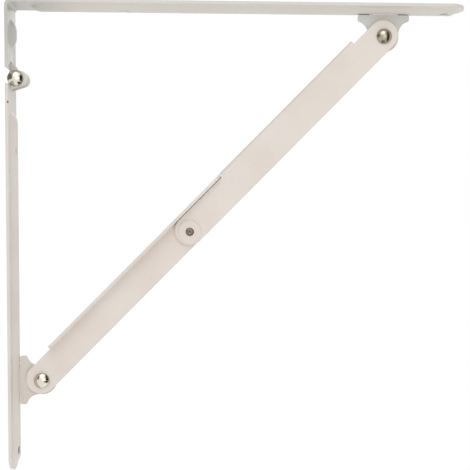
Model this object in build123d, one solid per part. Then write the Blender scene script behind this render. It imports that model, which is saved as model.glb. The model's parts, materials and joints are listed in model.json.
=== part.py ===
"""Folding shelf bracket: two beaded sheet-steel arms hinged at the wall corner,
braced by two flanged links that fold at an elbow and lock when they lie in one line.

Frame: X runs out from the wall, Z runs up, Y runs along the shelf.
The origin is where the wall plane (x = 0) meets the underside of the shelf (z = 0),
on the centre line of both arms.  All sizes are in millimetres.
"""
from build123d import *
import math
import os

# ---------------------------------------------------------------- arm stock
arm_width = 25.0            # width of both sheet strips
arm_sheet = 2.0             # sheet thickness of both arms
shelf_reach = 300.0         # wall plane to the tip of the shelf arm
wall_drop = 306.0           # shelf plane to the tip of the wall arm
tip_radius = 13.0           # plan radius of the rounded arm tips
tip_corner_radius = 2.5     # softening where the tip arc meets the long edges
corner_bend_radius = 4.0    # outside bend radius at the top corner

# ---------------------------------------------------------------- stiffening beads
bead_half_width = 7.0       # half width of the pressed bead at the sheet face
bead_height = 3.3           # crown height above the sheet face
bead_root_radius = 1.2      # blend between the bead and the flat sheet
shelf_bead_start = 14.5     # wall plane to the start of the shelf arm's bead
leg_bead_start = 11.0       # shelf plane to the start of the short leg's bead
leg_bead_end = 29.0         # shelf plane to the end of the short leg's bead
wall_bead_start = 71.0      # shelf plane to the start of the wall arm's bead
bead_tip_margin = 3.5       # flat left between a bead's end and the arm's tip

# ---------------------------------------------------------------- screw holes
screw_radius = 2.75         # through hole for the fixing screws
screw_sink_radius = 4.5     # mouth of the countersink
shelf_screw_near = 75.0     # wall plane to the inner shelf screw
wall_screw_near = 96.0      # shelf plane to the upper wall screw

# ---------------------------------------------------------------- corner pivot
corner_pivot_x = 5.2        # wall plane to the corner pivot axis
corner_pivot_drop = 49.5    # shelf plane to the corner pivot axis
leg_end_gap = 6.4           # corner pivot axis up to the end of the short leg
wall_end_gap = 4.0          # corner pivot axis down to the end of the wall arm
ear_sheet = 2.0             # thickness of the hinge ears
ear_inner_half_gap = 1.2    # half of the space between the two inner ears
ear_play = 0.2              # side play between an inner and an outer ear
inner_ear_radius = 4.6      # rounding of the short leg's ears about the pivot
outer_ear_radius = 4.8      # rounding of the wall arm's ears about the pivot
outer_ear_reach = 2.8       # how far the outer ears' rounded tip lies past the pivot
inner_ear_root = 5.5        # length along the leg over which its ears are joined
outer_ear_root = 3.2        # length along the wall arm over which its ears are joined
ear_root_sink = 0.3         # depth to which an ear's root is welded into the sheet

# ---------------------------------------------------------------- brace pivots
wall_pivot_x = 20.0         # wall plane to the lower brace pivot
wall_pivot_drop = 247.0     # shelf plane to the lower brace pivot
shelf_pivot_x = 246.0       # wall plane to the upper brace pivot
shelf_pivot_drop = 20.0     # shelf plane to the upper brace pivot
fold_angle = 88.7           # swing of the shelf arm from level to hanging down
folded_brace_angle = 90.2   # direction of the lower brace when folded, from +X

# ---------------------------------------------------------------- lugs
lug_sheet = 2.0             # thickness of both lug plates
lug_foot_gap = 0.4          # slit under the ends of a lug's foot
lug_shoulder = 3.9          # height of the straight sides at a lug's foot
lug_waist_radius = 9.0      # hollow curve between the foot and the boss
lug_corner_radius = 0.9     # softened corners of the foot
lug_tenon_length = 19.0     # part of the foot let into the bead and welded
lug_tenon_proud = 0.4       # how far the tenon stands out behind the bead
lug_slot_play = 0.1         # clearance all round the tenon in its slot
wall_lug_foot = 32.0        # length of the wall lug's foot
wall_lug_boss = 9.5         # radius of the wall lug about its pivot
shelf_lug_foot = 34.0       # length of the shelf lug's foot
shelf_lug_boss = 10.0       # radius of the shelf lug about its pivot

# ---------------------------------------------------------------- braces
brace_sheet = 2.0           # sheet thickness of both braces
layer_play = 0.15           # running gap between plates that turn on each other
lower_right = 8.65          # lower brace axis to its plain edge
lower_neck = 10.8           # lower brace axis to its other edge, beside the pivot
lower_flange_face = 10.9    # lower brace axis to the inner face of its flange
lower_end_radius = 9.3      # reach of the lower brace past its wall pivot
lower_flange_start = 19.0   # wall pivot to the start of the flange
lower_tail = 40.6           # reach of the lower brace past the elbow
upper_right = 8.9           # upper brace axis to its plain edge
upper_neck = 10.7           # upper brace axis to its other edge, beside the shelf pivot
upper_flange_face = 11.3    # upper brace axis to the inner face of its flange
upper_end_radius = 9.9      # reach of the upper brace past its shelf pivot
upper_flange_end = 17.7     # end of the flange to the shelf pivot
elbow_end_radius = 9.0      # reach of the upper brace past the elbow
stop_play = 0.35            # gap between the upper brace's edge and the lower flange
tail_play = 0.65            # gap between the lower brace's tail and the upper flange
flange_depth = 8.0          # overall depth of both flanged sections
flange_end_radius = 5.0     # rounding of the flange's free corners
flange_bend_outer = 2.4     # outside bend radius of both flanges
flange_bend_inner = 0.5     # inside bend radius of both flanges
tail_corner_radius = 5.0    # rounding of the lower brace's hidden tail corner
elbow_boss_radius = 7.9     # pressed boss round the elbow pin
elbow_boss_height = 0.6     # how far that boss stands out
elbow_dish_radius = 6.2     # hollow behind the boss

# ---------------------------------------------------------------- rivets
pin_play = 0.05             # radial clearance of every pin in its holes
rivet_radius = 2.5          # shank of the two brace rivets
rivet_head_radius = 5.0     # domed head of the brace rivets
rivet_head_height = 3.0     # height of every domed head
rivet_rim = 0.6             # straight rim under a dome
rivet_tail_radius = 4.0     # formed tail of every rivet
rivet_tail_height = 1.5     # height of every formed tail
head_play = 0.1             # gap under a head or tail
elbow_pin_radius = 2.7      # elbow pin, riveted over nearly flush
elbow_pin_proud = 0.3       # how far its riveted end stands out
corner_rivet_radius = 2.2   # shank of the corner rivet
corner_head_radius = 5.1    # domed head of the corner rivet


# ================================================================ worked-out places
arm_crown = arm_sheet + bead_height          # mounting plane to the top of a bead
shelf_screw_far = shelf_reach - tip_radius   # the outer screws are centred in the rounded tips
wall_screw_far = wall_drop - tip_radius
corner_pivot = (corner_pivot_x, -corner_pivot_drop)
wall_pivot = (wall_pivot_x, -wall_pivot_drop)
shelf_pivot = (shelf_pivot_x, -shelf_pivot_drop)
brace_span = math.dist(wall_pivot, shelf_pivot)
brace_rise = math.degrees(math.atan2(shelf_pivot[1] - wall_pivot[1], shelf_pivot[0] - wall_pivot[0]))


def folded_shelf_pivot():
    """Where the shelf pivot lies once the shelf arm has swung down."""
    turn = -math.radians(fold_angle)
    x = shelf_pivot[0] - corner_pivot[0]
    z = shelf_pivot[1] - corner_pivot[1]
    return (
        corner_pivot[0] + x * math.cos(turn) - z * math.sin(turn),
        corner_pivot[1] + x * math.sin(turn) + z * math.cos(turn),
    )


def lower_brace_length():
    """Length that lets the straight pair of braces also close when folded flat."""
    folded = folded_shelf_pivot()
    gap_x = folded[0] - wall_pivot[0]
    gap_z = folded[1] - wall_pivot[1]
    up_x = math.cos(math.radians(folded_brace_angle))
    up_z = math.sin(math.radians(folded_brace_angle))
    along = gap_x * up_x + gap_z * up_z
    return (brace_span**2 - gap_x**2 - gap_z**2) / (2 * (brace_span - along))


lower_length = lower_brace_length()
upper_length = brace_span - lower_length
brace_dir = Vector(math.cos(math.radians(brace_rise)), 0, math.sin(math.radians(brace_rise)))
elbow = (
    wall_pivot[0] + lower_length * brace_dir.X,
    wall_pivot[1] + lower_length * brace_dir.Z,
)

# Plate layers, measured towards the front (-Y) from the plane between the two lugs.
wall_lug_back = -lug_sheet
lower_web_back = layer_play
upper_web_back = lower_web_back + brace_sheet + layer_play
shelf_lug_back = upper_web_back - layer_play - lug_sheet
inner_ear_face = ear_inner_half_gap + ear_sheet
outer_ear_inner = inner_ear_face + ear_play
outer_ear_face = outer_ear_inner + ear_sheet
front = Vector(0, -1, 0)


def front_plane(place, x_dir=Vector(1, 0, 0), depth=0.0):
    """Work plane facing the front, at an (x, z) place and a depth towards the front."""
    return Plane(origin=(place[0], -depth, place[1]), x_dir=x_dir, z_dir=front)


# ================================================================ arms
def bead_radius():
    """Outside radius of the bead's round section, from its width and height."""
    return (bead_half_width**2 + bead_height**2) / (2 * bead_height)


def pressed_form(length, radius, floor):
    """Round-backed ridge with domed ends, its section run straight and turned about
    both ends.  It rises from z = floor, with its crown arc of the given radius."""
    centre = arm_crown - bead_radius()
    half = math.sqrt(radius**2 - (floor - centre) ** 2)
    rise = centre + radius
    shoulder = math.asin(half / radius) / 2
    arc_mid = (radius * math.sin(shoulder), centre + radius * math.cos(shoulder))
    arc_side = radius * math.sin(shoulder)
    arc_rise = centre + radius * math.cos(shoulder)
    half_section = make_face([
        Line((0, floor), (half, floor)),
        ThreePointArc((half, floor), (arc_side, arc_rise), (0, rise)),
        Line((0, rise), (0, floor)),
    ])
    full_section = make_face([
        Line((-half, floor), (half, floor)),
        ThreePointArc((half, floor), (0, rise), (-half, floor)),
    ])
    far_dome = Rot(0, 0, -90) * revolve(Plane.XZ * half_section, Axis.Z, 180)
    near_dome = mirror(far_dome, Plane.YZ)
    run = length - 2 * bead_half_width
    straight = extrude(Plane.YZ * full_section, run)
    return Pos(bead_half_width, 0, 0) * (near_dome + straight + Pos(run, 0, 0) * far_dome)


def tip_outline(length):
    """Strip outline with a rounded tip: one arc across it, or corner arcs if that radius is small."""
    half = arm_width / 2
    if tip_radius < half:
        outline = Pos(length / 2, 0) * Rectangle(length, arm_width)
        corners = outline.vertices().filter_by(lambda v: v.X > length / 2)
        return fillet(corners, tip_radius)
    shoulder = length - tip_radius + math.sqrt(tip_radius**2 - half**2)
    outline = make_face([
        Line((0, -half), (shoulder, -half)),
        ThreePointArc((shoulder, -half), (length, 0), (shoulder, half)),
        Line((shoulder, half), (0, half)),
        Line((0, half), (0, -half)),
    ])
    corners = outline.vertices().filter_by(lambda v: abs(v.X - shoulder) < 0.01)
    return fillet(corners, tip_corner_radius)


def flat_strip(length, rounded_tip):
    """Flat strip from x = 0 to its tip, mounting face on z = 0."""
    if rounded_tip:
        outline = tip_outline(length)
    else:
        outline = Pos(length / 2, 0) * Rectangle(length, arm_width)
    return extrude(outline, arm_sheet)


def add_bead(strip, start, end):
    """Press a hollow bead into a strip between two distances along it."""
    outside = Pos(start, 0, 0) * pressed_form(end - start, bead_radius(), arm_sheet / 2)
    hollow = Pos(start, 0, 0) * pressed_form(end - start, bead_radius() - arm_sheet, 0)
    beaded = strip + outside
    root = beaded.edges().filter_by(
        lambda e: on_bead_root(e, start, end)
    )
    beaded = fillet(root, bead_root_radius)
    return beaded - hollow


def on_bead_root(edge, start, end):
    """True for an edge on the sheet face that follows the bead's foot."""
    middle = edge @ 0.5
    on_face = abs(middle.Z - arm_sheet) < 1e-3 and abs((edge @ 0.25).Z - arm_sheet) < 1e-3
    inside = start - 0.01 <= middle.X <= end + 0.01
    return on_face and inside and abs(middle.Y) <= bead_half_width + 0.01


def screw_hole(distance):
    """Countersunk screw hole through a bead's crown."""
    sink = screw_sink_radius - screw_radius
    drill = Pos(distance, 0, arm_crown / 2) * Cylinder(screw_radius, 2 * arm_crown)
    mouth = Pos(distance, 0, arm_crown - sink / 2) * Cone(screw_radius, screw_sink_radius, sink)
    relief = Pos(distance, 0, arm_crown + 0.5) * Cylinder(screw_sink_radius, 1.0)
    return drill + mouth + relief


def tenon_slot(distance, back):
    """Slot through a bead's crown for a lug's tenon, in the strip's own axes."""
    length = lug_tenon_length + 2 * lug_slot_play
    width = lug_sheet + 2 * lug_slot_play
    centre = -(back + lug_sheet / 2)
    return Pos(distance, centre, arm_crown) * Box(length, width, 2 * arm_crown)


def ear_plates(outline, inner):
    """A pair of ears either side of the centre line, from one outline in the XZ plane."""
    plate = extrude(outline, ear_sheet)
    near = Pos(0, -inner, 0) * plate
    far = Pos(0, inner + ear_sheet, 0) * plate
    return near + far


def ear_outline(radius, tips, root_low, root_high):
    """Hull of the rounded ends and the root line along the arm's sheet."""
    root_x = arm_sheet - ear_root_sink
    rounds = [Pos(tip[0], tip[1]) * Circle(radius) for tip in tips]
    edges = [e for disc in rounds for e in disc.edges()]
    edges.append(Line((root_x, root_low), (root_x, root_high)))
    return front_plane((0, 0)) * make_hull(edges)


def pivot_bore(place, radius, back, depth):
    """Bore along Y at an (x, z) place, from one layer towards the front."""
    return extrude(front_plane(place, depth=back) * Circle(radius), depth)


def wall_arm():
    top = corner_pivot_drop + wall_end_gap
    strip = flat_strip(wall_drop - top, rounded_tip=True)
    strip = add_bead(strip, wall_bead_start - top, wall_drop - top - bead_tip_margin)
    strip -= tenon_slot(wall_pivot_drop - top, wall_lug_back)
    for drop in (wall_screw_near, wall_screw_far):
        strip -= screw_hole(drop - top)
    body = Pos(0, 0, -top) * Rot(0, 90, 0) * strip
    tip = (corner_pivot[0] + outer_ear_reach, corner_pivot[1])
    outline = ear_outline(outer_ear_radius, [corner_pivot, tip], -top - outer_ear_root, -top)
    body += ear_plates(outline, outer_ear_inner)
    bore = corner_rivet_radius + pin_play
    return body - pivot_bore(corner_pivot, bore, -arm_width, 2 * arm_width)


def shelf_arm():
    straight = shelf_reach - corner_bend_radius
    shelf = flat_strip(straight, rounded_tip=True)
    shelf = add_bead(shelf, shelf_bead_start - corner_bend_radius, straight - bead_tip_margin)
    shelf -= tenon_slot(shelf_pivot_x - corner_bend_radius, -shelf_lug_back - lug_sheet)
    for reach in (shelf_screw_near, shelf_screw_far):
        shelf -= screw_hole(reach - corner_bend_radius)
    shelf = Pos(corner_bend_radius, 0, 0) * Rot(180, 0, 0) * shelf

    leg_end = corner_pivot_drop - leg_end_gap
    leg = flat_strip(leg_end - corner_bend_radius, rounded_tip=False)
    leg = add_bead(leg, leg_bead_start - corner_bend_radius, leg_bead_end - corner_bend_radius)
    leg = Pos(0, 0, -corner_bend_radius) * Rot(0, 90, 0) * leg

    ring = Circle(corner_bend_radius) - Circle(corner_bend_radius - arm_sheet)
    side = 2 * corner_bend_radius
    quarter = ring & (Pos(-corner_bend_radius, corner_bend_radius) * Rectangle(side, side))
    bend_plane = front_plane((corner_bend_radius, -corner_bend_radius))
    bend = extrude(bend_plane * quarter, arm_width / 2, both=True)

    root_high = -leg_end + inner_ear_root
    outline = ear_outline(inner_ear_radius, [corner_pivot], -leg_end, root_high)
    ears = ear_plates(outline, ear_inner_half_gap)
    bore = corner_rivet_radius + pin_play
    return shelf + bend + leg + ears - pivot_bore(corner_pivot, bore, -arm_width, 2 * arm_width)


# ================================================================ lugs
def lug_hollow(corner, boss, height):
    """Hollow curve from a foot corner to the boss: its middle point and its end."""
    span = math.hypot(corner[0], height - corner[1])
    reach = boss + lug_waist_radius
    along = (reach**2 - lug_waist_radius**2 + span**2) / (2 * span)
    aside = math.sqrt(reach**2 - along**2)
    across = (corner[0] / span, (corner[1] - height) / span)
    centre = (
        along * across[0] - aside * across[1],
        height + along * across[1] + aside * across[0],
    )
    end = (centre[0] * boss / reach, height + (centre[1] - height) * boss / reach)
    chord = ((corner[0] + end[0]) / 2 - centre[0], (corner[1] + end[1]) / 2 - centre[1])
    scale = lug_waist_radius / math.hypot(*chord)
    return (centre[0] + scale * chord[0], centre[1] + scale * chord[1]), end


def lug(foot, boss, height):
    """Lug plate on a front-facing plane: foot on y = 0, pivot at (0, height)."""
    half = foot / 2
    middle, join = lug_hollow((half, lug_shoulder), boss, height)
    outline = make_face([
        Line((-half, 0), (half, 0)),
        Line((half, 0), (half, lug_shoulder)),
        ThreePointArc((half, lug_shoulder), middle, join),
        ThreePointArc(join, (0, height + boss), (-join[0], join[1])),
        ThreePointArc((-join[0], join[1]), (-middle[0], middle[1]), (-half, lug_shoulder)),
        Line((-half, lug_shoulder), (-half, 0)),
    ])
    corners = outline.vertices().filter_by(lambda v: abs(abs(v.X) - half) < 0.01)
    outline = fillet(corners, lug_corner_radius)
    tenon_depth = lug_foot_gap + arm_sheet + lug_tenon_proud
    tenon = Pos(0, -tenon_depth / 2) * Rectangle(lug_tenon_length, tenon_depth)
    hole = Pos(0, height) * Circle(rivet_radius + pin_play)
    return extrude(outline + tenon - hole, lug_sheet)


def wall_lug():
    foot_x = arm_crown + lug_foot_gap
    plane = front_plane((foot_x, wall_pivot[1]), x_dir=Vector(0, 0, -1), depth=wall_lug_back)
    return plane * lug(wall_lug_foot, wall_lug_boss, wall_pivot_x - foot_x)


def shelf_lug():
    foot_z = arm_crown + lug_foot_gap
    plane = front_plane((shelf_pivot[0], -foot_z), x_dir=Vector(-1, 0, 0), depth=shelf_lug_back)
    return plane * lug(shelf_lug_foot, shelf_lug_boss, shelf_pivot_drop - foot_z)


# ================================================================ braces
def flanged_section(start, end, plain_edge, face):
    """L-section from start to end along a brace, its flange rising towards the front."""
    outer = face + brace_sheet
    out_sin = flange_bend_outer * math.sin(math.radians(45))
    in_sin = flange_bend_inner * math.sin(math.radians(45))
    out_centre = (outer - flange_bend_outer, flange_bend_outer)
    in_centre = (face - flange_bend_inner, brace_sheet + flange_bend_inner)
    section = make_face([
        Line((-plain_edge, 0), (out_centre[0], 0)),
        ThreePointArc(
            (out_centre[0], 0),
            (out_centre[0] + out_sin, out_centre[1] - out_sin),
            (outer, out_centre[1]),
        ),
        Line((outer, out_centre[1]), (outer, flange_depth)),
        Line((outer, flange_depth), (face, flange_depth)),
        Line((face, flange_depth), (face, in_centre[1])),
        ThreePointArc(
            (face, in_centre[1]),
            (in_centre[0] + in_sin, in_centre[1] - in_sin),
            (in_centre[0], brace_sheet),
        ),
        Line((in_centre[0], brace_sheet), (-plain_edge, brace_sheet)),
        Line((-plain_edge, brace_sheet), (-plain_edge, 0)),
    ])
    body = Pos(start, 0, 0) * extrude(Plane.YZ * section, end - start)
    corners = body.edges().filter_by(Axis.Y).filter_by(lambda e: (e @ 0.5).Z > flange_depth - 0.01)
    return fillet(corners, flange_end_radius)


def rounded_end(place, reach, plain_edge, other_edge, join, side):
    """Flat plate round a pivot at u = place: a full round end out to reach past the
    pivot on the given side, and straight edges back to u = join."""
    bow = (other_edge - plain_edge) / 2
    outline = make_face([
        Line((join, -plain_edge), (place, -plain_edge)),
        ThreePointArc((place, -plain_edge), (place + side * reach, bow), (place, other_edge)),
        Line((place, other_edge), (join, other_edge)),
        Line((join, other_edge), (join, -plain_edge)),
    ])
    return extrude(outline, brace_sheet, dir=(0, 0, 1))


def drilled(place, radius):
    """Bore through both braces' full depth at u = place."""
    return Pos(place, 0, 0) * Cylinder(radius, 4 * flange_depth)


def lower_brace():
    """L-section from the wall lug to beyond the elbow, flange towards the front."""
    end = lower_length + lower_tail
    body = flanged_section(lower_flange_start, end, lower_right, lower_flange_face)
    tail = body.edges().filter_by(Axis.Z).filter_by(lambda e: (e @ 0.5).X > end - 0.01 and (e @ 0.5).Y < 0)
    body = fillet(tail, tail_corner_radius)
    body += rounded_end(0, lower_end_radius, lower_right, lower_neck, lower_flange_start, -1)
    body -= drilled(0, rivet_radius + pin_play)
    body -= drilled(lower_length, elbow_pin_radius + pin_play)
    return front_plane(wall_pivot, x_dir=brace_dir, depth=lower_web_back) * body


def upper_brace():
    """L-section from the elbow to the shelf lug, flange towards the back."""
    flange_start = lower_tail + tail_play
    flange_stop = upper_length - upper_flange_end
    section = flanged_section(flange_start, flange_stop, upper_right, upper_flange_face)
    body = Pos(0, 0, brace_sheet) * mirror(section, Plane.XY)
    elbow_edge = lower_flange_face - stop_play
    body += rounded_end(0, elbow_end_radius, upper_right, elbow_edge, flange_start, -1)
    body += rounded_end(upper_length, upper_end_radius, upper_right, upper_neck, flange_stop, 1)
    body += raised_boss(elbow_boss_radius, brace_sheet)
    body -= raised_boss(elbow_dish_radius, 0)
    body -= drilled(0, elbow_pin_radius + pin_play)
    body -= drilled(upper_length, rivet_radius + pin_play)
    return front_plane(elbow, x_dir=brace_dir, depth=upper_web_back) * body


def raised_boss(radius, base):
    """Low pressed boss with a sloped side, standing on z = base."""
    return Pos(0, 0, base + elbow_boss_height / 2) * Cone(radius, radius - elbow_boss_height, elbow_boss_height)


# ================================================================ rivets
def turned(points):
    """Solid turned about the local z axis from (radius, z) points, the last back to the first."""
    sides = [Line(low, high) for low, high in zip(points, points[1:] + points[:1])]
    return revolve(Plane.XZ * make_face(sides), Axis.Z, 360)


def dome(radius, height, base):
    """Spherical cap of a given base radius and height, standing on z = base."""
    ball = (radius**2 + height**2) / (2 * height)
    cap = Pos(0, 0, base + height - ball) * Sphere(ball)
    return cap & (Pos(0, 0, base + height / 2) * Cylinder(2 * radius, height))


def domed_rivet(place, back, face, shank, head):
    """Rivet along Y: formed tail behind the plates, shank, and a domed head in front."""
    seat = face + head_play
    rim = seat + rivet_rim
    heel = back - head_play
    tail = heel - rivet_tail_height
    soft = rivet_tail_height / 2
    body = turned([
        (0, tail),
        (rivet_tail_radius - soft, tail),
        (rivet_tail_radius, tail + soft),
        (rivet_tail_radius, heel),
        (shank, heel),
        (shank, seat),
        (head, seat),
        (head, rim),
        (0, rim),
    ])
    return front_plane(place) * (body + dome(head, rivet_head_height - rivet_rim, rim))


def lower_pivot_rivet():
    return domed_rivet(
        wall_pivot, wall_lug_back, lower_web_back + brace_sheet, rivet_radius, rivet_head_radius
    )


def upper_pivot_rivet():
    return domed_rivet(
        shelf_pivot, shelf_lug_back, upper_web_back + brace_sheet, rivet_radius, rivet_head_radius
    )


def elbow_pin():
    """Plain pin riveted over nearly flush in the boss, with a flat head behind."""
    face = upper_web_back + brace_sheet + elbow_boss_height
    heel = lower_web_back - head_play
    tail = heel - rivet_tail_height
    head = rivet_head_radius
    return front_plane(elbow) * turned([
        (0, tail),
        (head, tail),
        (head, heel),
        (elbow_pin_radius, heel),
        (elbow_pin_radius, face),
        (elbow_pin_radius - elbow_pin_proud, face + elbow_pin_proud),
        (0, face + elbow_pin_proud),
    ])


def whole_corner_rivet():
    return domed_rivet(
        corner_pivot, -outer_ear_face, outer_ear_face, corner_rivet_radius, corner_head_radius
    )


def corner_rivet_ends():
    """Head and tail of the corner rivet, with the shank that the outer ears hold."""
    split = inner_ear_face + ear_play / 2
    middle = pivot_bore(corner_pivot, corner_head_radius, -split, 2 * split)
    return whole_corner_rivet() - middle


def corner_rivet_core():
    """The stretch of the corner rivet that the inner ears turn on."""
    return pivot_bore(corner_pivot, corner_rivet_radius, -inner_ear_face, 2 * inner_ear_face)


# ================================================================ write the parts
os.makedirs("parts", exist_ok=True)
nodes = {
    "wall_arm": wall_arm,
    "shelf_arm": shelf_arm,
    "wall_lug": wall_lug,
    "shelf_lug": shelf_lug,
    "lower_brace": lower_brace,
    "upper_brace": upper_brace,
    "lower_pivot_rivet": lower_pivot_rivet,
    "upper_pivot_rivet": upper_pivot_rivet,
    "elbow_pin": elbow_pin,
    "corner_rivet_ends": corner_rivet_ends,
    "corner_rivet_core": corner_rivet_core,
}
for name, make in nodes.items():
    export_step(make(), "parts/" + name + ".step")
print("lower brace", round(lower_length, 3), "upper brace", round(upper_length, 3))
print("elbow at", [round(value, 3) for value in elbow], "brace rise", round(brace_rise, 3))
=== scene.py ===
# %% [markdown]
# # Folding shelf bracket, dressed for a portrait
#
# The bracket is two pressed steel arms joined by a riveted corner, with a two-piece brace that
# locks straight to hold a shelf and folds to let it drop. The CAD model gives every shape and
# place. This script adds what a CAD solid lacks: paint with its orange-peel skin, softened
# edges, weld runs, turned and polished rivets, a studio and a camera.
#
# Lengths are in metres. X points out from the wall, Z is up, and the camera looks along +Y.

import json
import math
import random

import bmesh
import bpy
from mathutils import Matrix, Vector


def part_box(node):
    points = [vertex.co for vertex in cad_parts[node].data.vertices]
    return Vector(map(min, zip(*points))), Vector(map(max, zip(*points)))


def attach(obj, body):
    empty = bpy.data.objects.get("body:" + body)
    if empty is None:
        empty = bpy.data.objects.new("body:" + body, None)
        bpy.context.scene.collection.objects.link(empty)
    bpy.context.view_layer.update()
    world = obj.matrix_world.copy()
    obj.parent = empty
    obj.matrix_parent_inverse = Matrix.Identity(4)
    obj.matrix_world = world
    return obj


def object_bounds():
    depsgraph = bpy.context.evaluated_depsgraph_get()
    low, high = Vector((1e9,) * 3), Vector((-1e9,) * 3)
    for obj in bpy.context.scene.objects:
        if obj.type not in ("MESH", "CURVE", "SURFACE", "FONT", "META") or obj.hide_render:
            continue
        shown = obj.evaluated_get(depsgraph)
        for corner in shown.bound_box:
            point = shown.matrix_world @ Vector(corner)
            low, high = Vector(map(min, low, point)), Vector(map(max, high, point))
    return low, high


MM = 0.001

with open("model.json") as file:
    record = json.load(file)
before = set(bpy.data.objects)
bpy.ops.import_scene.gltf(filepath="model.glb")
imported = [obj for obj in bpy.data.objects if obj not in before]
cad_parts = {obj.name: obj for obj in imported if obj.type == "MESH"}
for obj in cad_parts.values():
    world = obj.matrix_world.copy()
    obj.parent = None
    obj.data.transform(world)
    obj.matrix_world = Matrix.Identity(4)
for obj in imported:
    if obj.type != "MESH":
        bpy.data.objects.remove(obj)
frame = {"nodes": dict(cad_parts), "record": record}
nodes = frame["nodes"]
cad_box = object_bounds()
print("pieces:", ", ".join(nodes))

# %% [markdown]
# ## Camera
#
# The portrait is taken almost square on, from about half a metre, with a short telephoto lens.
# The camera stands near the middle of the open corner and is turned a little towards the
# brace, so the arms show their inner faces and their pressed ribs. A camera at rest looks
# straight down, which is why 90 degrees are added before the small tilt.

# %% Place the camera
TILT_DOWN = 2.125
TURN_RIGHT = 2.881

camera_data = bpy.data.cameras.new("camera")
camera_data.sensor_width = 36.0
camera_data.lens = 65.1
camera_data.clip_start = 0.01
camera_data.clip_end = 50.0
camera = bpy.data.objects.new("camera", camera_data)
camera.location = (0.1192, -0.5643, -0.1303)
camera.rotation_euler = (math.radians(90 - TILT_DOWN), 0.0, math.radians(-TURN_RIGHT))
bpy.context.scene.collection.objects.link(camera)
bpy.context.scene.camera = camera
bpy.context.scene.view_settings.view_transform = "Standard"
print("camera at", tuple(round(v, 3) for v in camera.location))
print("lens", camera_data.lens, "mm")

# %% [markdown]
# ## Shader maths
#
# A material is a tree of nodes, and long trees are hard to read as nodes. So they are written
# as sums here. A `Flow` is one value on its way through a tree: `0.4 + 0.1 * noise` makes the
# two maths nodes and joins them. The reflected forms, such as `__rsub__`, let a plain number
# stand first, so `1 - mask` works. Vectors go through Vector Math nodes and colours through
# Mix nodes, because a plain Math node would turn a colour grey.


# %% Flow, a value in a node tree
class Flow:
    """One value in a node tree: it wraps an output socket, and arithmetic adds nodes."""

    def __init__(self, tree, socket=None):
        self.tree = tree
        self.socket = socket

    def feed(self, target, value):
        """Joins a value to a socket, or writes a plain number or colour on it."""
        if isinstance(value, Flow):
            self.tree.links.new(value.socket, target)
        else:
            target.default_value = value

    def node(self, kind, settings=None, *in_order, **by_name):
        """Adds a node: its settings, then its sockets, in order or by name. Gives its outputs."""
        made = self.tree.nodes.new(kind)
        for name, value in (settings or {}).items():
            setattr(made, name, value)
        for target, value in zip([s for s in made.inputs if s.enabled], in_order):
            self.feed(target, value)
        for name, value in by_name.items():
            self.feed(made.inputs[name.replace("_", " ")], value)
        return {out.name: Flow(self.tree, out) for out in made.outputs if out.enabled}

    def is_vector(self):
        return self.socket.type in ("VECTOR", "RGBA")

    def maths(self, operation, *values):
        """A Math node, or a Vector Math node where a vector takes part."""
        kind = "ShaderNodeMath"
        if any(isinstance(v, Flow) and v.is_vector() for v in values):
            kind = "ShaderNodeVectorMath"
            values = [(v, v, v) if isinstance(v, (int, float)) else v for v in values]
        made = self.node(kind, {"operation": operation}, *values)
        return next(iter(made.values()))

    def __add__(self, other):
        return self.maths("ADD", self, other)

    __radd__ = __add__

    def __sub__(self, other):
        return self.maths("SUBTRACT", self, other)

    def __rsub__(self, other):
        return self.maths("SUBTRACT", other, self)

    def __mul__(self, other):
        return self.maths("MULTIPLY", self, other)

    __rmul__ = __mul__

    def length(self):
        """The length of a vector."""
        return self.maths("LENGTH", self)

    def dot(self, other):
        """1 where two unit vectors point the same way, and less as they part."""
        return self.maths("DOT_PRODUCT", self, other)

    def step(self, low, high):
        """0 below low and 1 above high, with a soft ramp between them."""
        smooth = {"interpolation_type": "SMOOTHSTEP"}
        ramp = self.node("ShaderNodeMapRange", smooth, Value=self, From_Min=low, From_Max=high)
        return ramp["Result"]

    def between(self, first, second):
        """Mixes two colours by this value: 0 gives the first, 1 the second."""
        return self.node("ShaderNodeMix", {"data_type": "RGBA"}, self, first, second)["Result"]


print("operators ready: + - *")

# %% [markdown]
# ## Colours and empty materials
#
# Colours are easiest to pick as a screen shows them, in values from 0 to 255. A shader adds up
# light, so it takes linear values, and the curve between the two is worked out here once.
# Every material starts from Blender's Principled shader, which covers both paint and metal.


# %% Colour and material helpers
def srgb(red, green, blue):
    """A colour from 0..255 screen values, as the linear colour that a shader takes."""
    parts = []
    for value in (red, green, blue):
        value = value / 255
        parts.append(value / 12.92 if value <= 0.04045 else ((value + 0.055) / 1.055) ** 2.4)
    return (*parts, 1.0)


def new_material(name):
    """A new material, a Flow to build its tree with, and its Principled shader."""
    material = bpy.data.materials.new(name)
    material.use_nodes = True
    tree = material.node_tree
    return material, Flow(tree), tree.nodes["Principled BSDF"]


def noise(flow, place, scale, detail, **more):
    """Cloudy noise from 0 to 1. The scale counts cells to the metre: 500 makes 2 mm spots."""
    made = flow.node("ShaderNodeTexNoise", Vector=place, Scale=scale, Detail=detail, **more)
    return made["Fac"]


print("middle grey is", round(srgb(128, 128, 128)[0], 3), "in linear light")
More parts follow.
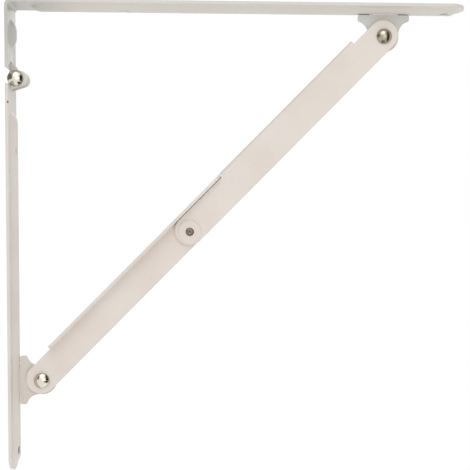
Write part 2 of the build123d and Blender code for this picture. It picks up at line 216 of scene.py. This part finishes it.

# %% [markdown]
# ## White powder coat: its tones
#
# The arms, lugs and braces are sprayed with dry polyester powder and baked. Each piece was
# sprayed before assembly, so they differ a little: the braces are warmest, and the shelf arm is
# greyer. The shelf arm's tones are also darker, and both lugs' tones are darker still: painted
# shade, because the lugs sit back behind the arms' front edges. A single flat tone looks like
# plastic, so every coat drifts between two tones that lie close together. The other colours are
# what the coat shows where it has suffered: thin on edges, chipped, or rubbed to the steel.
# Painted shade darkens the coat round the corner, in slits and inside screw holes.

# %% Paint tones
BRACE_TONES = (srgb(230, 221, 213), srgb(225, 214, 205))
ARM_TONES = (srgb(226, 221, 213), srgb(223, 213, 205))
# Painted shade: the shelf arm's tones are darker than the wall arm's, and the lugs' tones darker
# still.
SHELF_GREY_AND_SHADED_TONES = (srgb(219, 216, 208), srgb(218, 212, 204))
WALL_LUG_SHADED_TONES = (srgb(219, 212, 204), srgb(215, 204, 196))
SHELF_LUG_SHADED_TONES = (srgb(212, 212, 206), srgb(205, 203, 197))
THIN = srgb(196, 189, 180)
# The colour of painted shade round the corner.
PAINTED_CORNER_SHADE = srgb(188, 187, 181)
BARE_STEEL = srgb(150, 144, 136)
# The colour of painted shade in slits and corners.
SLIT_SHADE = srgb(88, 80, 72)
# The colour of chips, and of painted shade inside screw holes.
CHIP_AND_HOLE_SHADE = srgb(70, 66, 60)
print("brace coat drifts from", BRACE_TONES[0], "to", BRACE_TONES[1])

# %% [markdown]
# ## Where the coat changes
#
# Melted powder draws back from sharp edges, so there it is thin. Slits and the ground under rivet
# heads are painted darker: painted shade. A screw chips the mouth of its hole, and the inside of
# the hole is painted dark as painted shade. Each of these is a mask, a number from 0 to 1 over
# the surface.
#
# These masks could be painted by hand, but then they would have to be painted again after
# each change of shape. The edge mask sets the true surface against one that is rounded over a
# short reach: on a flat the two agree, at an edge they part. The slit mask asks how much of
# the sky a point sees. The hole's mask measures the distance to the hole's axis.

# %% Masks for edges, slits and screw holes
EDGE_REACH = 0.7 * MM
SLIT_REACH = 2.0 * MM
CHIPPED_RIM = 1.6 * MM
RIM_SOFTNESS = 0.15 * MM


def edge_mask(flow):
    """1 on an edge and 0 on a flat."""
    rounded = flow.node("ShaderNodeBevel", {"samples": 6}, Radius=EDGE_REACH)["Normal"]
    true = flow.node("ShaderNodeNewGeometry")["Normal"]
    return (1.0 - rounded.dot(true)).step(0.02, 0.22)


def slit_shade_mask(flow):
    """1 deep in a slit or corner and 0 in the open."""
    settings = {"samples": 8, "only_local": False}
    sky = flow.node("ShaderNodeAmbientOcclusion", settings, Distance=SLIT_REACH)["AO"]
    return (1.0 - sky).step(0.45, 0.95)


def hole_shade_and_chip_mask(place, centre, across, radius, ragged):
    """1 in a hole, as painted shade, and on its chipped ragged rim; 0 outside. `across` is 0
    along the hole's axis.
    """
    away = ((place - centre) * across).length() + (ragged - 0.5) * CHIPPED_RIM
    return 1.0 - away.step(radius, radius + RIM_SOFTNESS)


print("edges thin over", EDGE_REACH / MM, "mm, slits darken over", SLIT_REACH / MM, "mm")

# %% [markdown]
# ## The coat's recipe
#
# The powder melts into a skin about 0.08 mm thick that never levels out. The shallow dimples
# that stay, about two millimetres apart, are called orange peel. Pressing a rib also leaves
# the sheet under the skin faintly wavy. Both are far too shallow for real geometry, so they
# are heights in a Bump node, which bends the light as if the surface went up and down.
#
# All noise is placed in the piece's own space, so the finish stays with a piece that swings.

# %% Powder coat
NOISES = {
    "cloud": (22.0, 3.0),  # slow drift of tone along an arm
    "mottle": (260.0, 2.0),  # blotches about 4 mm wide
    "peel": (480.0, 1.0),  # dimples about 2 mm wide
    "grain": (2600.0, 2.0),  # powder specks
    "press": (80.0, 1.0),  # waves of the pressed sheet, about 12 mm long
}
PEEL_DEPTH = 0.09 * MM
CHIP_RAGGED = 0.3 * MM


def powder_coat(name, tones, seed, chips=(), holes=(), shaded_spots=(), slit_shade=0.85, wavy=0.3):
    """A baked coat. The seed moves its noise; chips, holes and spots of painted corner shade are
    in metres.
    """
    material, flow, shader = new_material(name)
    here = flow.node("ShaderNodeTexCoord")["Object"]
    place = here + (seed, 0.0, 0.0)
    cloud, mottle, peel, grain, press = (noise(flow, place, *kind) for kind in NOISES.values())
    rub = noise(flow, place, 95.0, 6.0, Roughness=0.7)
    edge = edge_mask(flow)
    worn = edge.step(0.45, 0.95) * rub.step(0.60, 0.66)

    tone = (cloud.step(0.35, 0.65) * 0.8 + mottle * 0.2).between(*tones)
    # Painted shade: round the bend and the ears the coat darkens towards a grey.
    for spot, reach, share in shaded_spots:
        away = (here - spot).length() + (cloud - 0.5) * (0.2 * reach)
        tone = ((1.0 - away.step(0.15 * reach, reach)) * share).between(tone, PAINTED_CORNER_SHADE)
    tone = (edge * (0.35 + 0.5 * mottle)).between(tone, THIN)
    # Painted shade: slits and corners darken by how little of the sky they see.
    tone = (slit_shade_mask(flow) * slit_shade).between(tone, SLIT_SHADE)
    for spot, reach in chips:
        away = (here - spot).length() + (grain - 0.5) * CHIP_RAGGED
        tone = (1.0 - away.step(0.6 * reach, reach)).between(tone, CHIP_AND_HOLE_SHADE)
    # Painted shade inside the screw holes, with chipped paint on their ragged rims.
    for centre, across, radius, share in holes:
        tone = (hole_shade_and_chip_mask(here, centre, across, radius, rub) * share).between(tone, CHIP_AND_HOLE_SHADE)
    tone = worn.between(tone, BARE_STEEL)

    height = peel + wavy * press + 0.12 * grain - 0.5 * worn
    bump = flow.node("ShaderNodeBump", Strength=1.0, Distance=PEEL_DEPTH, Height=height)
    flow.feed(shader.inputs["Base Color"], tone)
    flow.feed(shader.inputs["Roughness"], 0.34 + 0.12 * mottle + 0.10 * cloud.step(0.4, 0.7))
    flow.feed(shader.inputs["Metallic"], worn * 0.8)
    flow.feed(shader.inputs["Normal"], bump["Normal"])
    shader.inputs["Specular IOR Level"].default_value = 0.5
    shader.inputs["Coat Weight"].default_value = 0.15
    shader.inputs["Coat Roughness"].default_value = 0.25
    return material


print("powder coat mixes", len(NOISES) + 1, "noises")

# %% [markdown]
# ## Wear and painted shade in their places
#
# Use leaves marks in places that say how the bracket is used. The screw hole nearest each arm's
# tip has a chipped mouth, and the inside of the hole is painted dark: painted shade. The record's
# bolt patterns give the middle and the spacing of the holes, so the marks follow if the holes
# move. The wall arm has one small chip on its front edge. Round the bend and the ears the coat is
# painted darker: painted shade at the corner.

# %% Places of wear and painted shade
SHADED_AND_CHIPPED_MOUTH = 3.1 * MM
mounts = {mount["name"]: mount for mount in frame["record"]["mounts"]}


def end_hole(mount_name, spacing, outward):
    """The middle of the last hole of a bolt pattern, going outward from its middle."""
    mount = mounts[mount_name]
    half = mount["dims"][spacing] * MM / 2
    return tuple(Vector(mount["pos_m"]) + half * Vector(outward))


wall_low, wall_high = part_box("wall_arm")
shelf_low, shelf_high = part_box("shelf_arm")
chip = (wall_low.x + 1.9 * MM, wall_low.y + 0.3 * MM, wall_high.z - 20.8 * MM)
ears = (wall_low.x + 8.0 * MM, 0.0, wall_high.z - 5.0 * MM)
bend = (shelf_low.x + 3.0 * MM, 0.0, shelf_high.z - 12.0 * MM)
wall_hole = end_hole("wall_screws", "spacing_y_mm", (0, 0, -1))
shelf_hole = end_hole("shelf_screws", "spacing_x_mm", (1, 0, 0))
print("chipped holes at", wall_hole, "and", shelf_hole)

# %% [markdown]
# ## One coat for each batch
#
# The seeds move the noise, so no two coats carry the same clouds. The two braces come from
# one batch and share a coat. The arms get more sheet waviness, because ribs are pressed in
# them.

# %% The bracket's coats
RIB_WAVES = 3.5
ALONG_X, ALONG_Z = (0.0, 1.0, 1.0), (1.0, 1.0, 0.0)

wall_coat = powder_coat(
    "powder_coat_wall_arm",
    ARM_TONES,
    seed=0.0,
    chips=[(chip, 1.0 * MM)],
    holes=[(wall_hole, ALONG_X, SHADED_AND_CHIPPED_MOUTH, 0.95)],
    shaded_spots=[(ears, 22.0 * MM, 0.35)],
    wavy=RIB_WAVES,
)
shelf_coat = powder_coat(
    "powder_coat_shelf_arm",
    SHELF_GREY_AND_SHADED_TONES,
    seed=0.13,
    holes=[(shelf_hole, ALONG_Z, SHADED_AND_CHIPPED_MOUTH, 0.45)],
    shaded_spots=[(bend, 50.0 * MM, 0.85)],
    wavy=RIB_WAVES,
)
weld_coat = powder_coat("powder_coat_welds", ARM_TONES, seed=0.29)
brace_coat = powder_coat("powder_coat_braces", BRACE_TONES, seed=0.37, slit_shade=0.3)
wall_lug_coat = powder_coat("powder_coat_wall_lug", WALL_LUG_SHADED_TONES, seed=0.71)
shelf_lug_coat = powder_coat("powder_coat_shelf_lug", SHELF_LUG_SHADED_TONES, seed=0.83)
print("coats:", wall_coat.name, shelf_coat.name, brace_coat.name)

# %% [markdown]
# ## Polished rivets and the darker elbow pin
#
# The dome rivets are turned from steel, nickel plated and buffed, so they mirror the room:
# bright where they face the lamps, near black where they face the dark side of the studio.
# The turning tool leaves fine rings round the axis. A sine of the distance to the axis draws
# them, with no image and no unwrapping. The elbow pin is left unplated, and oil darkens it.


# %% Turned metal
NICKEL = srgb(226, 220, 206)
NICKEL_DULL = srgb(176, 168, 152)
PIN_STEEL = srgb(132, 121, 111)
PIN_STAINED = srgb(74, 66, 60)
RING_PITCH = 0.22 * MM
RING_DEPTH = 0.01 * MM


def turned_metal(name, node, bright, dull, rough, rim):
    """Metal turned about the node's own axis, which runs along Y. Dull outside the rim."""
    material, flow, shader = new_material(name)
    low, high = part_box(node)
    place = flow.node("ShaderNodeTexCoord")["Object"] - tuple((low + high) / 2)
    radius = (place * (1.0, 0.0, 1.0)).length()
    rings = flow.maths("SINE", radius * (2 * math.pi / RING_PITCH))
    stain = noise(flow, place, 420.0, 4.0)
    scratch = noise(flow, place, 3200.0, 2.0)
    edge = radius.step(rim * 0.80, rim)

    colour = (edge * 0.7 + stain.step(0.5, 0.75) * 0.3).between(bright, dull)
    height = 0.25 * rings + 0.5 * scratch
    bump = flow.node("ShaderNodeBump", Strength=0.25, Distance=RING_DEPTH, Height=height)
    flow.feed(shader.inputs["Base Color"], colour)
    flow.feed(shader.inputs["Roughness"], rough + 0.10 * stain + 0.12 * edge)
    flow.feed(shader.inputs["Normal"], bump["Normal"])
    shader.inputs["Metallic"].default_value = 1.0
    return material


RIVETS = {
    "lower_pivot_rivet": (NICKEL, 0.10),
    # The upper pivot rivet's dull colour all over is a painted dark reflection in its middle.
    "upper_pivot_rivet": (NICKEL_DULL, 0.22),
    "corner_rivet_ends": (NICKEL, 0.12),
    "corner_rivet_core": (NICKEL, 0.12),
}
rivet_metal = {
    name: turned_metal("nickel_" + name, name, bright, NICKEL_DULL, rough, rim=5.0 * MM)
    for name, (bright, rough) in RIVETS.items()
}
pin_metal = turned_metal(
    "oiled_steel_pin", "elbow_pin", PIN_STEEL, PIN_STAINED, 0.30, rim=4.6 * MM
)
print("metals:", ", ".join(m.name for m in rivet_metal.values()), pin_metal.name)

# %% [markdown]
# ## Softened edges
#
# Sheared sheet has no knife edges once it is coated. The CAD mesh may not be changed, but
# modifiers may sit on top of it. The first joins the facets' doubled corners, so that the
# second can find the sharp edges, those that turn by more than 40 degrees, and round them.
# The third lets the large flats decide the shading, so that no dark smear is left beside the
# new narrow faces.

# %% Edge softening
PAINTED_EDGE = 0.22 * MM
SHARP = 40


def soften(piece, width):
    """Rounds the piece's sharp edges without touching its mesh."""
    weld = piece.modifiers.new("join the facets", "WELD")
    weld.merge_threshold = 0.002 * MM
    bevel = piece.modifiers.new("soft edge", "BEVEL")
    bevel.limit_method = "ANGLE"
    bevel.angle_limit = math.radians(SHARP)
    bevel.width = width
    bevel.segments = 2
    bevel.use_clamp_overlap = True
    bevel.harden_normals = False
    even = piece.modifiers.new("even shading", "WEIGHTED_NORMAL")
    even.mode = "FACE_AREA"
    even.weight = 80


print("painted edges are rounded by", PAINTED_EDGE / MM, "mm")

# %% [markdown]
# ## Dressing the CAD pieces
#
# Each CAD piece keeps its shape and place and takes its finish. The table also groups the
# finishes: all white paint goes together, and so do the polished rivets. The white paint group
# gets softened edges.

# %% Give each piece its finish
finishes = {
    "wall_arm": (wall_coat, "white_paint"),
    "shelf_arm": (shelf_coat, "white_paint"),
    "wall_lug": (wall_lug_coat, "white_paint"),
    "shelf_lug": (shelf_lug_coat, "white_paint"),
    "lower_brace": (brace_coat, "white_paint"),
    "upper_brace": (brace_coat, "white_paint"),
    "elbow_pin": (pin_metal, "dark_pin"),
}
for name, metal in rivet_metal.items():
    finishes[name] = (metal, "polished_rivet")

for name, (material, slot_name) in finishes.items():
    piece = nodes[name]
    piece.data.materials.clear()
    piece.data.materials.append(material)
    if slot_name == "white_paint":
        soften(piece, PAINTED_EDGE)
print("dressed", len(finishes), "pieces")

# %% [markdown]
# ## Adding a piece
#
# Welds and the pin's hammered end are too small and too uneven for the CAD model, so they are
# made here from lists of corners and faces. A piece is parented to an empty named after the body
# it rides on. Its faces are turned outward, because a print or a weight worked out from the mesh
# needs to know which side is full.


# %% Piece maker
def add_piece(name, vertices, faces, material, body):
    """A smooth closed piece that rides on a body."""
    mesh = bpy.data.meshes.new(name)
    mesh.from_pydata([tuple(v) for v in vertices], [], faces)
    shape = bmesh.new()
    shape.from_mesh(mesh)
    bmesh.ops.recalc_face_normals(shape, faces=shape.faces)
    shape.to_mesh(mesh)
    shape.free()
    mesh.polygons.foreach_set("use_smooth", [True] * len(mesh.polygons))
    mesh.materials.append(material)
    mesh.update()
    piece = bpy.data.objects.new(name, mesh)
    bpy.context.scene.collection.objects.link(piece)
    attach(piece, body)
    return piece


def ring_faces(rings, around):
    """The faces between rings of corners that were listed one ring after the other."""
    faces = []
    for i in range(rings - 1):
        for k in range(around):
            a, b = i * around + k, i * around + (k + 1) % around
            faces.append((a, b, b + around, a + around))
    return faces


# %% [markdown]
# ## A run of weld
#
# A welder lays metal in overlapping drops, and each drop freezes as a small step. So the run
# is an oval rope whose size swells once for each drop, tapers at both ends, and wanders a
# little from the straight line. The dice are seeded, so the same run comes out every time.

# %% Weld recipe
RINGS_IN_A_DROP = 6
CORNERS_IN_A_RING = 14


def weld_run(name, start, end, side, rise, half_width, height, drops, body, seed):
    """A run of weld from start to end. `side` and `rise` point across it and out of it."""
    dice = random.Random(seed)
    rings = drops * RINGS_IN_A_DROP
    vertices = []
    for i in range(rings + 1):
        share = i / rings
        phase = (share * drops) % 1.0
        swell = 0.88 + 0.16 * math.sqrt(max(0.0, 1 - (1.6 * phase - 0.8) ** 2 / 0.7))
        taper = math.sqrt(max(0.0, 1 - (2 * share - 1) ** 8)) + 0.02
        size = swell * taper * (1 + dice.uniform(-0.03, 0.03))
        wander = side * (0.06 * half_width * math.sin(5.0 * share + seed))
        middle = start + (end - start) * share + wander
        for k in range(CORNERS_IN_A_RING):
            turn = 2 * math.pi * k / CORNERS_IN_A_RING
            out = side * (half_width * math.cos(turn)) + rise * (height * math.sin(turn))
            vertices.append(middle + out * size)
    faces = ring_faces(rings + 1, CORNERS_IN_A_RING)
    faces.append(tuple(reversed(range(CORNERS_IN_A_RING))))
    faces.append(tuple(range(rings * CORNERS_IN_A_RING, (rings + 1) * CORNERS_IN_A_RING)))
    return add_piece(name, vertices, faces, weld_coat, body)


print("a drop of weld has", RINGS_IN_A_DROP * CORNERS_IN_A_RING, "corners")

# %% [markdown]
# ## Welds on the lugs
#
# Each lug has a tenon that passes through a slot in the arm's rib. A thin run of weld on
# either side of the lug holds it, and a flatter puddle seals the tenon's end inside the rib.
# The rib's crown stands 5.3 mm off the arm's back, and the sheet is 2 mm thick.

# %% Lay the welds
RUN_LENGTH = 16.0 * MM
CROWN = 5.3 * MM
SHEET = 2.0 * MM
SUNK = 0.1 * MM
PUDDLE_SUNK = 0.15 * MM
out_x, out_y, out_z = Vector((1, 0, 0)), Vector((0, 1, 0)), Vector((0, 0, 1))

for arm, along, away, body in (
    ("wall", out_z, out_x, "wall_frame"),
    ("shelf", out_x, -out_z, "shelf_frame"),
):
    low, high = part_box(arm + "_lug")
    middle = (low + high) / 2
    centre = middle.dot(along) * along
    start, end = centre - along * RUN_LENGTH / 2, centre + along * RUN_LENGTH / 2
    for place, depth, seed in (("front", low.y, 3), ("rear", high.y, 11)):
        foot = away * (CROWN - SUNK) + out_y * depth
        weld_run(
            f"weld_{arm}_{place}", start + foot, end + foot, out_y, away,
            half_width=0.65 * MM, height=0.55 * MM, drops=12, body=body, seed=seed,
        )
    foot = away * (CROWN - SHEET - PUDDLE_SUNK) + out_y * middle.y
    weld_run(
        f"tenon_weld_{arm}", start - along * MM + foot, end + along * MM + foot, out_y, away,
        half_width=1.7 * MM, height=0.75 * MM, drops=9, body=body, seed=23,
    )
print("four weld runs", RUN_LENGTH / MM, "mm long, and two puddles")

# %% [markdown]
# ## The pin's hammered end
#
# The elbow pin's end is hammered over into a shallow button, with the punch's mark left in
# its middle. A button is round, so half of its outline is enough: each point of the outline
# is swept round the axis, as on a lathe. Blender's Screw modifier does the same, but a few
# lines of code give the closed bottom and the single corner at the tip.


# %% Turn the button
def lathe(name, centre, outline, around, material, body):
    """A round piece about Y, from (radius, depth) points that end on the axis, at the front."""
    vertices = []
    for radius, depth in outline[:-1]:
        for k in range(around):
            turn = 2 * math.pi * k / around
            out = Vector((radius * math.cos(turn), -depth, radius * math.sin(turn)))
            vertices.append(centre + out)
    vertices.append(centre + Vector((0, -outline[-1][1], 0)))
    faces = ring_faces(len(outline) - 1, around)
    last, tip = (len(outline) - 2) * around, len(vertices) - 1
    faces += [(last + k, last + (k + 1) % around, tip) for k in range(around)]
    faces.append(tuple(range(around)))
    return add_piece(name, vertices, faces, material, body)


low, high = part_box("elbow_pin")
pin_middle = Vector(((low.x + high.x) / 2, low.y, (low.z + high.z) / 2))
button_mm = [(2.42, -0.05), (2.40, 0.02), (2.25, 0.16), (1.9, 0.29), (1.4, 0.36), (1.05, 0.36)]
button_mm += [(0.85, 0.28), (0.6, 0.10), (0.35, -0.02), (0.0, -0.06)]
button = [(radius * MM, depth * MM) for radius, depth in button_mm]
lathe("elbow_pin_end", pin_middle, button, 48, pin_metal, "lower_link")
print("pin's button is", 2 * button_mm[0][0], "mm wide")

# %% [markdown]
# ## Floor
#
# The bracket stands on white paper. Light Path tells which ray is asking: the camera and the
# reflections see nearly plain white, with a share of real paper so that a soft shadow stays,
# and all other rays see real paper. The glow is a touch over 1, which makes up for what the
# shaded share lacks, so that the paper meets the white room without a line. The floor casts
# no shadow of its own, because one lamp stands below it.


# %% Lay the floor
GLOW = 1.025
GLOW_SHARE = 0.95


def seen_directly(flow):
    """1 for rays from the camera, from reflections and through glass, and 0 for the rest."""
    rays = flow.node("ShaderNodeLightPath")
    seen = flow.maths("MAXIMUM", rays["Is Camera Ray"], rays["Is Glossy Ray"])
    return flow.maths("MAXIMUM", seen, rays["Is Transmission Ray"])


floor_mesh = bpy.data.meshes.new("floor")
shape = bmesh.new()
bmesh.ops.create_grid(shape, x_segments=1, y_segments=1, size=6.0)
shape.to_mesh(floor_mesh)
shape.free()
floor = bpy.data.objects.new("floor", floor_mesh)
floor.location = (0.1, 0.0, cad_box[0].z - 0.5 * MM)
bpy.context.scene.collection.objects.link(floor)
floor.visible_shadow = False

paper, flow, shader = new_material("floor_paper")
fibres = flow.node("ShaderNodeTexNoise", Scale=40.0, Detail=2.0)["Fac"]
flow.feed(shader.inputs["Base Color"], fibres.between(srgb(238, 238, 238), srgb(243, 243, 243)))
shader.inputs["Roughness"].default_value = 0.9
shader.inputs["Specular IOR Level"].default_value = 0.1
lit = Flow(flow.tree, shader.outputs["BSDF"])
glow = flow.node("ShaderNodeEmission", Strength=GLOW)["Emission"]
share = seen_directly(flow) * GLOW_SHARE
surface = flow.node("ShaderNodeMixShader", None, share, lit, glow)["Shader"]
flow.feed(flow.tree.nodes["Material Output"].inputs["Surface"], surface)
floor_mesh.materials.append(paper)
print("floor at z =", round(floor.location.z, 4))

# %% [markdown]
# ## White room
#
# A white room lights the bracket softly from all round. Its walls look plain white, which is
# a strength of 1, but shine with less on the bracket, so that pale paint doesn't burn out.

# %% Paint the room
AMBIENT = 0.60

world = bpy.data.worlds.new("studio")
bpy.context.scene.world = world
world.use_nodes = True
room = Flow(world.node_tree)
walls = world.node_tree.nodes["Background"]
walls.inputs["Color"].default_value = (1.0, 1.0, 1.0, 1.0)
room.feed(walls.inputs["Strength"], AMBIENT + (1.0 - AMBIENT) * seen_directly(room))
print("the room shines with", AMBIENT, "and looks like 1.0")

# %% [markdown]
# ## Lamps
#
# Four large soft boxes, because small lamps would draw hard shadows behind the brace. The key
# stands high in front, the fill straight ahead, one glows from below as a white table does,
# and one behind lifts the inner faces of the arms.


# %% Hang the soft boxes
def soft_lamp(name, offset, size, watts):
    """A square soft box, placed from the bracket's middle and turned towards it."""
    data = bpy.data.lights.new(name, "AREA")
    data.size = size
    data.energy = watts
    lamp = bpy.data.objects.new(name, data)
    lamp.location = middle + Vector(offset)
    lamp.rotation_euler = (-Vector(offset)).to_track_quat("-Z", "Y").to_euler()
    bpy.context.scene.collection.objects.link(lamp)
    return lamp


middle = (cad_box[0] + cad_box[1]) / 2
lamps = [
    soft_lamp("key", (-0.1, -0.9, 1.0), 0.9, 4.2),
    soft_lamp("fill", (0.3, -1.3, 0.1), 0.8, 1.5),
    soft_lamp("table_glow", (0.1, -0.5, -0.9), 0.8, 3.0),
    soft_lamp("back", (0.2, 1.2, 0.8), 0.9, 3.2),
]
print("lamps:", ", ".join(lamp.name for lamp in lamps))

# %% [markdown]
# ## Dark cloths
#
# In an all-white room a polished rivet looks like a white blob. So studios hang dark cloth
# beside the lens, and its reflection draws the streak that says "polished". Only reflections
# see these cloths: the camera, the soft light and the shadows pass through them.


# %% Hang the cloths
def dark_flag(name, corners, colour):
    """A dark cloth that only reflections see."""
    mesh = bpy.data.meshes.new(name)
    mesh.from_pydata(corners, [], [(0, 1, 2, 3)])
    cloth, _, shader = new_material(name + "_cloth")
    shader.inputs["Base Color"].default_value = colour
    shader.inputs["Roughness"].default_value = 0.9
    shader.inputs["Specular IOR Level"].default_value = 0.0
    mesh.materials.append(cloth)
    flag = bpy.data.objects.new(name, mesh)
    flag.visible_camera = False
    flag.visible_diffuse = False
    flag.visible_shadow = False
    bpy.context.scene.collection.objects.link(flag)
    return flag


BLACK_CLOTH = (0.01, 0.009, 0.008, 1.0)
BROWN_CLOTH = (0.20, 0.17, 0.14, 1.0)
beside_right = [(0.40, -0.05, -0.45), (0.40, -0.05, 0.40), (0.55, -0.50, 0.40)]
beside_right += [(0.55, -0.50, -0.45)]
on_the_floor = [(0.10, -0.04, -0.305), (0.34, -0.04, -0.305), (0.34, -0.30, -0.305)]
on_the_floor += [(0.10, -0.30, -0.305)]
beside_left = [(-0.60, 0.25, -0.12), (-0.60, 0.25, 0.60), (-0.60, -0.80, 0.60)]
beside_left += [(-0.60, -0.80, -0.12)]
dark_flag("right_flag", beside_right, BLACK_CLOTH)
dark_flag("low_flag", on_the_floor, BLACK_CLOTH)
dark_flag("left_flag", beside_left, BROWN_CLOTH)
print("three dark cloths hung")
